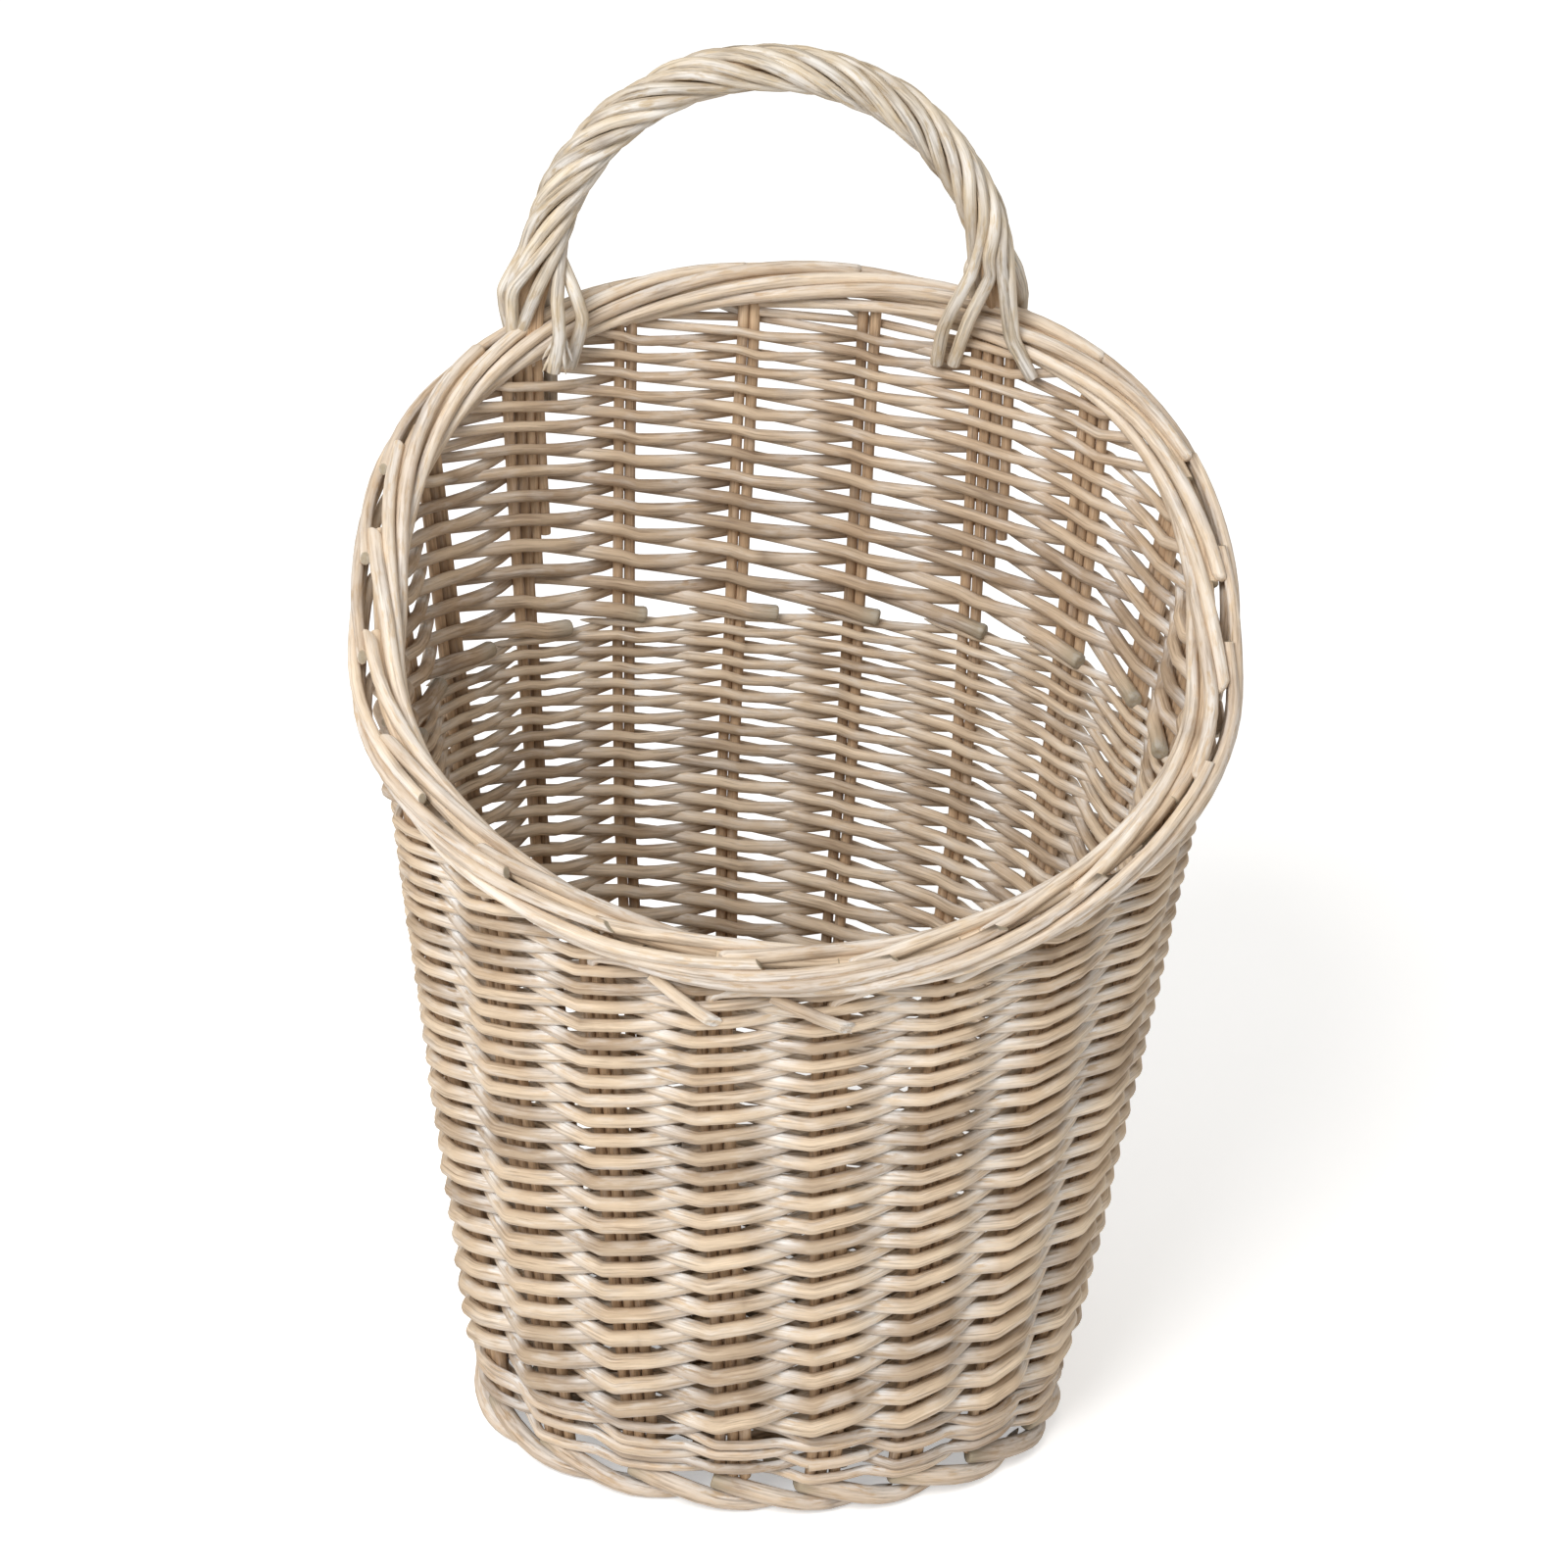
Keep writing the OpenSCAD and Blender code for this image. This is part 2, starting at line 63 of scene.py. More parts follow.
FOOT_HALF_W, BODY_HALF_W = 100.4, 136.2
FOOT_FRONT, BODY_FRONT = 64.0, 89.3
FOOT_BACK, BODY_BACK = 124.6, 141.5
REF_H, BACK_POWER, DEPTH_SHIFT = 276.0, 0.57, 31.2
RIM_FRONT_H, RIM_BACK_H, RIM_BEND = 235.1, 380.4, 0.04
STAKES, STAKE_PHASE = 20, 0.34
STAKE_R, STAKE_PITCH, PEG_Z = 2.0, 4.3, 284.0
LEFT_LEG, RIGHT_LEG = 2, 18
BORDER_OUT = 2.0


def wall(w, z):
    """Point of the stake line at plan angle w in degrees and height z."""
    w, z = np.broadcast_arrays(np.asarray(w, float), np.asarray(z, float))
    v = np.mod(w, 360)
    t = np.radians(np.where(v < 180, 90 * (1 - np.cos(np.radians(v))), v))
    s, k = np.sin(t), z / REF_H
    half = FOOT_HALF_W + (BODY_HALF_W - FOOT_HALF_W) * k
    front = FOOT_FRONT + (BODY_FRONT - FOOT_FRONT) * k
    back = FOOT_BACK + (BODY_BACK - FOOT_BACK) * k
    y = np.where(s < 0, front * s, back * np.abs(s) ** BACK_POWER) - DEPTH_SHIFT
    return np.stack([half * np.cos(t), y, z], -1)


def unit(v):
    v = np.asarray(v, float)
    return v / np.maximum(np.linalg.norm(v, axis=-1, keepdims=True), 1e-9)


def tangent(w, z):
    return unit(wall(np.asarray(w) + 1.5, z) - wall(np.asarray(w) - 1.5, z))


def outward(w, z):
    d = tangent(w, z)
    return np.stack([d[..., 1], -d[..., 0], 0 * d[..., 0]], -1)


OUTLINE_W = 90 + 3.0 * np.arange(121)
OUTLINE = wall(OUTLINE_W, 200)
OUTLINE_SUM = np.concatenate([[0], np.cumsum(np.linalg.norm(np.diff(OUTLINE, axis=0), axis=1))])


# The stakes were bent by hand, in three places round the body: the group in the middle, how many groups the
# bend spreads to each side, and its lean towards the next group at the foot, at mid height and at the rim
LEANS = ((1, 1.4, 8, 9, 1), (10, 2.2, 9, 0, -5), (17.6, 1.0, -8, -10, 6))
LEAN_Z = (40, 175, 365)
GROUP_GAP = 39.5


def lean(j, z):
    """Lean of group j at height z, as a share of the gap to the next group."""
    total = 0
    for centre, spread, *leans in LEANS:
        apart = np.mod(j - centre + STAKES / 2, STAKES) - STAKES / 2
        total = total + np.exp(-(apart / spread) ** 2 / 2) * np.interp(z, LEAN_Z, leans)
    return total / GROUP_GAP


def stake_w(j, z=None):
    """Plan angle of stake group j, counted leftwards round the body from the back centre."""
    j = np.asarray(j, float)
    if z is not None:
        j = j + lean(j, z)
    return np.interp(np.mod((j + STAKE_PHASE) / STAKES, 1), OUTLINE_SUM / OUTLINE_SUM[-1], OUTLINE_W)


def rim_z(w):
    share = (wall(w, REF_H)[..., 1] + DEPTH_SHIFT + BODY_FRONT) / (BODY_FRONT + BODY_BACK)
    return RIM_FRONT_H + (RIM_BACK_H - RIM_FRONT_H) * (share + RIM_BEND * np.sin(2 * np.pi * share))


def rods_in(j):
    return 2 if j % STAKES <= LEFT_LEG or j % STAKES >= RIGHT_LEG else 3


def half_group(j):
    return (rods_in(j) - 1) * STAKE_PITCH / 2 + STAKE_R


def near_reach(j, z):
    """Reach of group j on its right, where two short pegs stand beside the stakes under the handle."""
    pegs = j % STAKES in (LEFT_LEG, RIGHT_LEG) and z > PEG_Z - 8
    return half_group(j) + (2 * STAKE_PITCH if pegs else 0)


# ---- rods ----

SIDES = 12
SEED_PRIMES = (7919, 104729, 1299709, 15485863)
KNOT_LENGTH = 1.6    # half length of a bud scar's swelling


def rand(*key):
    """Random numbers that belong to one rod and are the same on each run."""
    seed = sum((k + 7) * prime for k, prime in zip(key, SEED_PRIMES))
    return np.random.RandomState(seed % 2**31)


def soften(path, sigma, step=1.0):
    """Resamples a path of x, y, z and other columns at even steps, and rounds its corners."""
    path = np.asarray(path, float)
    run = np.concatenate([[0], np.cumsum(np.linalg.norm(np.diff(path[:, :3], axis=0), axis=1))])
    n = max(int(run[-1] / step), 4)
    at = np.linspace(0, run[-1], n + 1)
    even = np.stack([np.interp(at, run, path[:, c]) for c in range(path.shape[1])], 1)
    reach = int(3 * sigma / step) + 1
    kernel = np.exp(-0.5 * (np.arange(-reach, reach + 1) * step / sigma) ** 2)
    kernel /= kernel.sum()
    before = 2 * even[0] - even[1:reach + 1][::-1] if n >= reach else np.repeat(even[:1], reach, 0)
    after = 2 * even[-1] - even[-reach - 1:-1][::-1] if n >= reach else np.repeat(even[-1:], reach, 0)
    padded = np.concatenate([before, even, after])
    return np.stack([np.convolve(padded[:, c], kernel, "valid") for c in range(path.shape[1])], 1)


def thin_out(path, angle=7.0, reach=8.0):
    """Keeps the points of a path that its bends need."""
    d = unit(np.diff(path[:, :3], axis=0))
    seg = np.linalg.norm(np.diff(path[:, :3], axis=0), axis=1)
    keep, last, run, limit = [0], d[0], 0.0, math.cos(math.radians(angle))
    for i in range(1, len(path) - 1):
        run += seg[i - 1]
        if d[i] @ last < limit or run > reach:
            keep.append(i)
            last, run = d[i], 0.0
    keep.append(len(path) - 1)
    return path[keep]


# Closing rings of a rod's end: how far beyond the end, and how wide, in radii. A fresh cut isn't weathered.
CUT_RINGS = ((0.10, 0.96), (0.14, 0.80), (0.12, 0.40))
END_RINGS = {
    "cut": CUT_RINGS,
    "fresh": CUT_RINGS,
    "butt": ((0.30, 0.93), (0.42, 0.74), (0.40, 0.38)),
    "round": ((0.30, 0.93), (0.60, 0.72), (0.80, 0.42)),
    "point": ((1.6, 0.72), (3.0, 0.42), (4.0, 0.18)),
}


class Piece:
    """A mesh gathered from closed round rods, with what the willow material reads from each point."""

    def __init__(self, name):
        self.name, self.count = name, 0
        self.points, self.faces, self.grain = [], [], []
        self.values = {"tone": [], "wash_and_highlight": [], "knot": [], "cut": []}

    def rod(self, path, radius, key, up=(0, 0, 1), wash_and_highlight=None, sides=SIDES,
            ends=("cut", "cut"), knots=45.0, slant=(0.0, 0.0), stain=0.0):
        """Adds a rod along path.

        The pale wash and painted highlight given along the rod are stronger on the sides towards and away
        from up; knots is about the distance between bud scars, slant tilts the cuts and stain is the length
        of the weathered part at the first end."""
        r = rand(*key)
        p = np.asarray(path, float)
        n = len(p)
        run = np.concatenate([[0], np.cumsum(np.linalg.norm(np.diff(p, axis=0), axis=1))])
        radius = np.broadcast_to(np.asarray(radius, float), (n,)).copy()
        wash_and_highlight = np.zeros(n) if wash_and_highlight is None else np.asarray(wash_and_highlight, float)
        # Willow swells a little at each bud scar.
        knot = np.zeros(n)
        at = r.uniform(5, knots)
        while at < run[-1]:
            close = np.exp(-((run - at) / KNOT_LENGTH) ** 2)
            radius *= 1 + 0.07 * r.uniform(0.3, 1) * close
            knot = np.maximum(knot, close * r.uniform(0.2, 1))
            at += r.uniform(0.6, 1.5) * knots
        d = unit(np.gradient(p, axis=0))
        ref = np.broadcast_to(np.asarray(up, float), p.shape)
        u = unit(ref - np.sum(ref * d, 1, keepdims=True) * d)
        v = np.cross(d, u)
        phi = 2 * np.pi * np.arange(sides) / sides
        shift = np.array([r.uniform(0, 900), r.uniform(0, 90), r.uniform(0, 90)])
        tone = r.uniform(0, 1)

        first, last = END_RINGS[ends[0]], END_RINGS[ends[1]]
        at = np.concatenate([[0] * 3, np.arange(n), [n - 1] * 3])
        push = np.concatenate([[-q[0] for q in first[::-1]], np.zeros(n), [q[0] for q in last]])
        wide = np.concatenate([[q[1] for q in first[::-1]], np.ones(n), [q[1] for q in last]])
        tilt = np.concatenate([[slant[0]] * 4, np.zeros(n - 2), [slant[1]] * 4])
        weathered = 0.9 * np.clip(1.1 - run / stain, 0, 1) if stain else np.zeros(n)
        is_cut = np.concatenate([[ends[0] in ("cut", "butt")] * 3, weathered, [0], [ends[1] == "cut"] * 2])
        a = radius[at] * wide
        centre = p[at] + d[at] * (radius[at] * push)[:, None]
        cos, sin = np.cos(phi), np.sin(phi)
        side = a[:, None, None] * (cos[:, None] * u[at][:, None] + sin[:, None] * v[at][:, None])
        slide = np.sum(side * v[at][:, None], 2) * tilt[:, None]
        ring = centre[:, None] + side + slide[:, :, None] * d[at][:, None]
        grain = np.stack(np.broadcast_arrays(run[at][:, None], a[:, None] * cos, a[:, None] * sin), 2)
        # Painted highlight: the wash is weighted to the sides towards and away from up, which show as pale
        # slivers along the rod's edges.
        under = 0.24 + 0.76 * np.abs(cos) ** 1.6
        tips = [ring[0].mean(0), ring[-1].mean(0)]
        self.points += [ring.reshape(-1, 3), tips]
        self.grain += [grain.reshape(-1, 3) + shift, grain[[0, -1]].mean(1) + shift]
        m = len(at)
        for label, inside, tip in (
            ("tone", np.full((m, sides), tone), [tone, tone]),
            ("wash_and_highlight", np.clip(wash_and_highlight[at][:, None] * under, 0, 1), [0, 0]),
            ("knot", knot[at][:, None] * (0.5 + 0.5 * np.cos(phi - shift[1])), [0, 0]),
            ("cut", np.repeat(is_cut[:, None], sides, 1), [is_cut[0], is_cut[-1]]),
        ):
            self.values[label] += [np.asarray(inside, float).ravel(), np.asarray(tip, float)]
        k = np.arange(sides)
        after = (k + 1) % sides
        for row in range(m - 1):
            low, high = self.count + row * sides, self.count + (row + 1) * sides
            self.faces += np.stack([low + k, low + after, high + after, high + k], 1).tolist()
        top, tip = self.count + (m - 1) * sides, self.count + m * sides
        self.faces += [[tip, self.count + int(b), self.count + int(q)] for q, b in zip(k, after)]
        self.faces += [[tip + 1, top + int(q), top + int(b)] for q, b in zip(k, after)]
        self.count += m * sides + 2

    def build(self, material, slot, *stands_for):
        mesh = bpy.data.meshes.new(self.name)
        mesh.from_pydata((np.concatenate(self.points) * MM).tolist(), [], self.faces)
        mesh.polygons.foreach_set("use_smooth", [True] * len(mesh.polygons))
        grain = mesh.attributes.new("grain", "FLOAT_VECTOR", "POINT")
        grain.data.foreach_set("vector", np.concatenate(self.grain).astype(np.float32).ravel())
        for label, data in self.values.items():
            value = mesh.attributes.new(label, "FLOAT", "POINT")
            value.data.foreach_set("value", np.concatenate(data).astype(np.float32))
        mesh.update()
        piece = bpy.data.objects.new(self.name, mesh)
        bpy.context.scene.collection.objects.link(piece)
        mesh.materials.append(material)
        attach(piece, "root")
        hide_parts(*stands_for)
        return piece


# ---- willow ----


def srgb(*rgb):
    """Linear colour of screen values, each above 10."""
    return tuple(((c / 255 + 0.055) / 1.055) ** 2.4 for c in rgb) + (1.0,)


BUD_SCAR, WEATHERED = srgb(96, 72, 52), srgb(146, 137, 116)
# Pale grey wash of the willow, up to near-white painted highlight where rods cross
WASH_AND_HIGHLIGHT = srgb(246, 247, 248), srgb(196, 192, 187)


def willow(name, pale, mid, dark, wash_and_highlight_share):
    """Peeled willow with streaks along the rod, blotches and bud scars, and a pale grey wash where rods
    cross, partly the willow's own colour and partly painted highlight.
    """
    m = bpy.data.materials.new(name)
    m.use_nodes = True
    nt = m.node_tree
    nt.nodes.clear()

    def node(kind, **values):
        made = nt.nodes.new(kind)
        for key, value in values.items():
            setattr(made, key, value)
        return made

    def link(a, b):
        nt.links.new(a, b)

    def attribute(label, socket="Fac"):
        return node("ShaderNodeAttribute", attribute_name=label).outputs[socket]

    def noise(scale, size, detail, rough=0.55):
        place = node("ShaderNodeMapping")
        place.inputs["Scale"].default_value = scale
        link(attribute("grain", "Vector"), place.inputs["Vector"])
        made = node("ShaderNodeTexNoise")
        made.inputs["Scale"].default_value = size
        made.inputs["Detail"].default_value = detail
        made.inputs["Roughness"].default_value = rough
        link(place.outputs[0], made.inputs["Vector"])
        return made.outputs["Fac"]

    def spread(value, low, high, to_low=0.0, to_high=1.0):
        made = node("ShaderNodeMapRange", clamp=True)
        for i, number in enumerate((low, high, to_low, to_high), 1):
            made.inputs[i].default_value = number
        link(value, made.inputs[0])
        return made.outputs[0]

    def maths(kind, a, b):
        made = node("ShaderNodeMath", operation=kind, use_clamp=True)
        for i, value in enumerate((a, b)):
            if isinstance(value, (int, float)):
                made.inputs[i].default_value = value
            else:
                link(value, made.inputs[i])
        return made.outputs[0]

    def blend(share, a, b):
        made = node("ShaderNodeMix", data_type="RGBA")
        link(share, made.inputs["Factor"])
        for socket, value in ((made.inputs[6], a), (made.inputs[7], b)):
            if isinstance(value, tuple):
                socket.default_value = value
            else:
                link(value, socket)
        return made.outputs[2]

    light = tuple(min(c * 1.25 + 0.04, 1.0) for c in pale[:3]) + (1.0,)
    streaks = noise((0.05, 1.0, 1.0), 1.1, 4)
    fibres = noise((0.16, 3.5, 3.5), 1.3, 3)
    blotches = noise((0.035, 0.12, 0.12), 1.0, 3)
    tone = attribute("tone")
    body = blend(spread(blotches, 0.32, 0.68), mid, pale)
    body = blend(maths("MULTIPLY", spread(streaks, 0.50, 0.70), 0.75), body, dark)
    body = blend(maths("MULTIPLY", spread(noise((0.03, 0.8, 0.8), 1.7, 3), 0.54, 0.70), 0.55), body, light)
    body = blend(maths("MULTIPLY", spread(tone, 0.55, 1.0), 0.45), body, dark)
    body = blend(maths("MULTIPLY", spread(tone, 0.45, 0.0), 0.45), body, pale)
    body = blend(maths("MULTIPLY", spread(fibres, 0.55, 0.75), 0.30), body, dark)
    body = blend(maths("MULTIPLY", attribute("knot"), 0.55), body, BUD_SCAR)
    # The wash colour runs from the willow's pale grey to near-white painted highlight.
    wash_and_highlight_colour = blend(spread(streaks, 0.40, 0.66), *WASH_AND_HIGHLIGHT)
    patches = spread(noise((0.12, 0.5, 0.5), 1.2, 4), 0.36, 0.50)
    wash_and_highlight_mask = maths("MULTIPLY", maths("MULTIPLY", attribute("wash_and_highlight"), patches), wash_and_highlight_share)
    film = maths("MULTIPLY", spread(noise((0.05, 0.2, 0.2), 1.3, 4), 0.52, 0.72), 0.35 * wash_and_highlight_share)
    body = blend(maths("MAXIMUM", wash_and_highlight_mask, film), body, wash_and_highlight_colour)
    body = blend(maths("MULTIPLY", attribute("cut"), 0.7), body, WEATHERED)
    shade = node("ShaderNodeBsdfPrincipled")
    link(body, shade.inputs["Base Color"])
    link(spread(fibres, 0.3, 0.7, 0.52, 0.74), shade.inputs["Roughness"])
    shade.inputs["Specular IOR Level"].default_value = 0.35
    relief = node("ShaderNodeBump")
    relief.inputs["Strength"].default_value = 0.35
    relief.inputs["Distance"].default_value = 0.4 * MM
    height = maths("ADD", maths("MULTIPLY", fibres, 0.5), maths("MULTIPLY", streaks, 0.5))
    link(height, relief.inputs["Height"])
    link(relief.outputs[0], shade.inputs["Normal"])
    out = node("ShaderNodeOutputMaterial")
    link(shade.outputs[0], out.inputs[0])
    return m


SIDING = willow("willow_siding", srgb(217, 197, 171), srgb(192, 168, 140), srgb(130, 107, 85), 1.0)
UPPER = willow("willow_upper_siding", srgb(208, 186, 159), srgb(184, 158, 130), srgb(122, 99, 79), 0.9)
STAKE = willow("willow_stakes", srgb(206, 177, 144), srgb(182, 150, 117), srgb(124, 98, 74), 0.5)
BORDER = willow("willow_border", srgb(226, 206, 179), srgb(203, 178, 149), srgb(146, 121, 97), 0.8)
ROPE = willow("willow_rope", srgb(220, 203, 175), srgb(190, 170, 142), srgb(98, 83, 66), 0.75)
FOOT = willow("willow_foot", srgb(208, 185, 157), srgb(184, 158, 129), srgb(120, 98, 78), 1.0)
BASE = willow("willow_base", srgb(198, 173, 142), srgb(172, 145, 114), srgb(118, 95, 73), 0.7)


# ---- stakes ----

STAKE_NODES = {
    "front": range(7, 14), "left_side": range(3, 7), "right_side": range(14, 18), "back": (0, 1, 19),
}


def stake_nodes(j):
    """The CAD nodes that hold the first rod of group j and its other rods."""
    if j in (LEFT_LEG, RIGHT_LEG):
        return ["left_leg_stakes" if j == LEFT_LEG else "right_leg_stakes"] * 2
    name = next(name for name, groups in STAKE_NODES.items() if j in groups)
    return [name + "_stakes", name + "_bye_stakes"]


STAKE_LOW = 13.5     # the stakes' lower ends are hidden in the first wale row
# The two short pegs under each foot of the handle: distance from the group's middle in pitches, lower end
PEGS = ((-1.47, PEG_Z - 5), (-2.43, PEG_Z + 8))
for j in range(STAKES):
    top = float(rim_z(stake_w(j))) - 5
    pieces = Piece(f"stake_{j + 1:02d}"), Piece(f"bye_stakes_{j + 1:02d}")
    rods = [((i - (rods_in(j) - 1) / 2) * STAKE_PITCH, STAKE_LOW) for i in range(rods_in(j))]
    if j in (LEFT_LEG, RIGHT_LEG):
        rods += [(side * STAKE_PITCH, low) for side, low in PEGS]
    for i, (side, low) in enumerate(rods):
        r = rand(1, j, i)
        heights = np.linspace(low, top, max(int((top - low) / 9), 6))
        drift = np.interp(heights, np.linspace(STAKE_LOW, top, 7), r.uniform(-0.3, 0.3, 7))
        sway = np.interp(heights, np.linspace(STAKE_LOW, top, 9), r.uniform(-0.35, 0.35, 9))
        w = stake_w(j, heights)
        normal = outward(w, heights)
        path = wall(w, heights) + (side + drift)[:, None] * tangent(w, heights) + sway[:, None] * normal
        size = STAKE_R * r.uniform(0.98, 1.05) * np.interp(heights, [STAKE_LOW, top], [1.04, 0.98])
        pieces[min(i, 1)].rod(path, size, (2, j, i), up=normal, knots=60, ends=("cut", "round"))
    for piece, node in zip(pieces, stake_nodes(j)):
        piece.build(STAKE, "willow_stakes", node)

# ---- siding ----

LOWER_NODES = ("lower_siding_thick", "lower_siding_middle", "lower_siding_thin", "lower_siding_tips")
UPPER_NODES = ("upper_siding_thick", "upper_siding_middle", "upper_siding_thin")
CROSS = 0.25         # clearance between a float and its stakes
RIM_GAP = 8.4        # how far below the rim's centre line the last float stays
IN_GAP = (0.12, 0.26, 0.40, 0.54, 0.68, 0.80, 0.91)   # points between two groups, as shares of the way
WASH_AND_HIGHLIGHT_MIDDLE, WASH_AND_HIGHLIGHT_SPREAD = 0.53, 0.22                 # where between two groups the pale wash and painted highlight show


def band_heights(nodes, rows, first, last):
    """Middles and thicknesses of the strokes of a band, which thin evenly from first to last."""
    low, high = box_mm(*nodes)
    t = np.linspace(first, last, rows)
    t *= (high[2] + 1 - low[2]) / t.sum()
    return low[2] + np.concatenate([[0], np.cumsum(t)[:-1]]) + t / 2, t


def into_border(j, step, z, size):
    """End of a rod that goes up into the border on the way from group j to its neighbour."""
    for share in np.arange(0.25, 1.0, 0.05):
        w = float(stake_w(j + step * share, z))
        if rim_z(w) - 6 < z + 4 * share:
            break
    height = min(z + 4 * share, float(rim_z(w)) - 3)
    return [*(wall(w, height) + 0.8 * outward(w, height)), size, 0.5]


def in_gap(x, side, back):
    """How far outwards and how far up a rod is, at share x of the way to the next group.

    At the front a rod keeps to the outside between groups. At the back it keeps to the inside, and climbs
    where it is inside."""
    late, early = x - x ** 1.35, x - x ** 0.75
    if side > 0:
        return (1 - back) * late + back * early, x ** (1 + 0.8 * back)
    return -(1 - back) * early - back * late, 1 - (1 - x) ** (1 + 0.5 * back)


def siding_runs(i, zs, ts, key, butt, taper, tip):
    """The stretches of a rod that starts at stake group i: rows of x, y, z, radius, and pale wash with
    painted highlight.

    The rod bends sharply where it meets a group, lies straight across it and then leans over to the
    other side of the next group, rising one course on the way. taper is how full it is against its course
    at its butt, nearly half way and at its tip."""
    r = rand(key, i)
    rows = len(zs)
    fat = r.uniform(0.97, 1.05) * np.interp(np.arange(rows), [0, 0.4 * rows, rows - 1], taper)
    strokes = []
    for n, (z, t) in enumerate(zip(zs, ts)):
        j = i + n
        z = z + r.uniform(-0.35, 0.35)
        w = float(stake_w(j, z))
        size = t / 2 * fat[n] * r.uniform(0.95, 1.05)
        side = -1 if n % 2 == 0 else 1
        normal, along = outward(w, z), tangent(w, z)
        middle = wall(w, z) + side * (STAKE_R + CROSS + size + r.uniform(0, 0.35)) * normal
        near, far = near_reach(j, z) - 0.6, half_group(j) - 0.6
        back = min(max(1.4 * normal[1], 0), 1)
        tilt = 0.3 + 0.6 * back if side < 0 else (0.9 - 0.5 * n / rows) * (1 - back)
        tilt = np.array([0, 0, tilt * r.uniform(0.7, 1.2)])
        start, stop = middle - near * along - tilt, middle + far * along + 0.9 * tilt
        strokes.append((j, float(rim_z(w)) - RIM_GAP - z, side, size, normal, along, back, start, stop))

    runs, run = [], []
    for n, (j, free, side, size, normal, along, back, start, stop) in enumerate(strokes):
        if free < 0:
            if run:
                run.append(into_border(j - 1, 1, run[-1][2], size))
                runs.append(run)
                run = []
            continue
        if not run:
            if n:
                run.append(into_border(j, -1, start[2], size))
            else:
                extra = r.uniform(1, 12)
                run.append([*(start - extra * along - 0.5 * normal - [0, 0, 0.1 * extra]), butt, 0.6])
                size = 0.4 * size + 0.6 * butt
        run.append([*start, size, 0])
        if n == rows - 1:
            if tip == "cut":
                run.append(into_border(j, 1, stop[2], size))
            else:
                run.append([*(stop + 9 * along - side * 2.5 * normal), size * 0.7, 0.6])
            break
        after = strokes[n + 1][7]
        rise = after[2] - start[2]
        share = np.linalg.norm(stop[:2] - start[:2]) / np.linalg.norm(after[:2] - start[:2])
        stop = stop + [0, 0, rise * share]
        run.append([*stop, size, 0])
        if strokes[n + 1][1] >= 0:
            swing = 2 * (STAKE_R + CROSS + size)
            for x in IN_GAP:
                push, climb = in_gap(x, side, back)
                q = stop + (after - stop) * [x, x, climb] + swing * push * normal
                # Pale wash and painted highlight, strongest a little past the middle of the gap and weaker at
                # the back.
                wash_and_highlight = (1 - 0.5 * back) * math.exp(-((x - WASH_AND_HIGHLIGHT_MIDDLE) / WASH_AND_HIGHLIGHT_SPREAD) ** 2)
                run.append([*q, size, wash_and_highlight])
    if run:
        runs.append(run)
    return runs


def weave(name, i, band, key, butt, taper, tip, material, nodes):
    """One siding rod, in a piece of its own. It has two stretches or more if it goes up into the border."""
    piece = Piece(f"{name}_{i + 1:02d}")
    for part, run in enumerate(siding_runs(i, *band, key, butt, taper, tip)):
        if len(run) > 3:
            path = thin_out(soften(run, 1.1, 0.9), 6.0)
            ends = ("cut" if part else "butt", tip)
            wash_and_highlight = np.clip(path[:, 4] * 1.3, 0, 1)
            piece.rod(path[:, :3], path[:, 3], (key, i, part), wash_and_highlight=wash_and_highlight, ends=ends, stain=0 if part else 9)
    if piece.count:
        piece.build(material, "willow_siding", *nodes)


# Number of courses, thickness of the first and of the last one
lower_band = band_heights(LOWER_NODES, 53, 5.45, 2.9)
upper_band = band_heights(UPPER_NODES, 26, 6.2, 3.5)
LOWER_BUTT, LOWER_TAPER = 2.9, (1.10, 1.10, 1.13)
UPPER_BUTT, UPPER_TAPER = 3.15, (0.92, 0.96, 1.02)
for i in range(STAKES):
    weave("lower_siding_rod", i, lower_band, 11, LOWER_BUTT, LOWER_TAPER, "point", SIDING, LOWER_NODES)
    weave("upper_siding_rod", i, upper_band, 12, UPPER_BUTT, UPPER_TAPER, "cut", UPPER, UPPER_NODES)

# ---- upset ----

wale_low, wale_high = box_mm("upset_wale_lower", "upset_wale_upper")
WALE_ROWS, WALE_R = 6, 1.85
wale_t = (wale_high[2] + 5 - wale_low[2]) / WALE_ROWS
for n in range(WALE_ROWS):
    piece = Piece(f"wale_row_{n + 1}")
    r = rand(21, n)
    run = []
    for step in range(STAKES + 1):
        j = n * 5 + step
        side = -1 if (step + n) % 3 == 0 else 1
        z = wale_low[2] + (n + 0.5) * wale_t + r.uniform(-0.8, 0.8)
        w = float(stake_w(j, z))
        size = WALE_R * r.uniform(0.9, 1.1)
        normal, along = outward(w, z), tangent(w, z)
        centre = wall(w, z) + side * (STAKE_R + CROSS + size) * normal
        for edge in (-1, 1):
            run.append([*(centre + edge * (half_group(j) - 0.6) * along + [0, 0, 0.5 * edge]), size, 0.3])
        # Pale wash and painted highlight, strongest between stake groups
        run.append([*(wall(stake_w(j + 0.5, z), z + 0.6) + 1.5 * side * normal), size, 1])
    path = thin_out(soften(run, 2.0))
    piece.rod(path[:, :3], path[:, 3], (22, n), wash_and_highlight=path[:, 4])
    piece.build(FOOT, "willow_foot", "upset_wale_lower" if n < 3 else "upset_wale_upper")

# ---- foot border ----

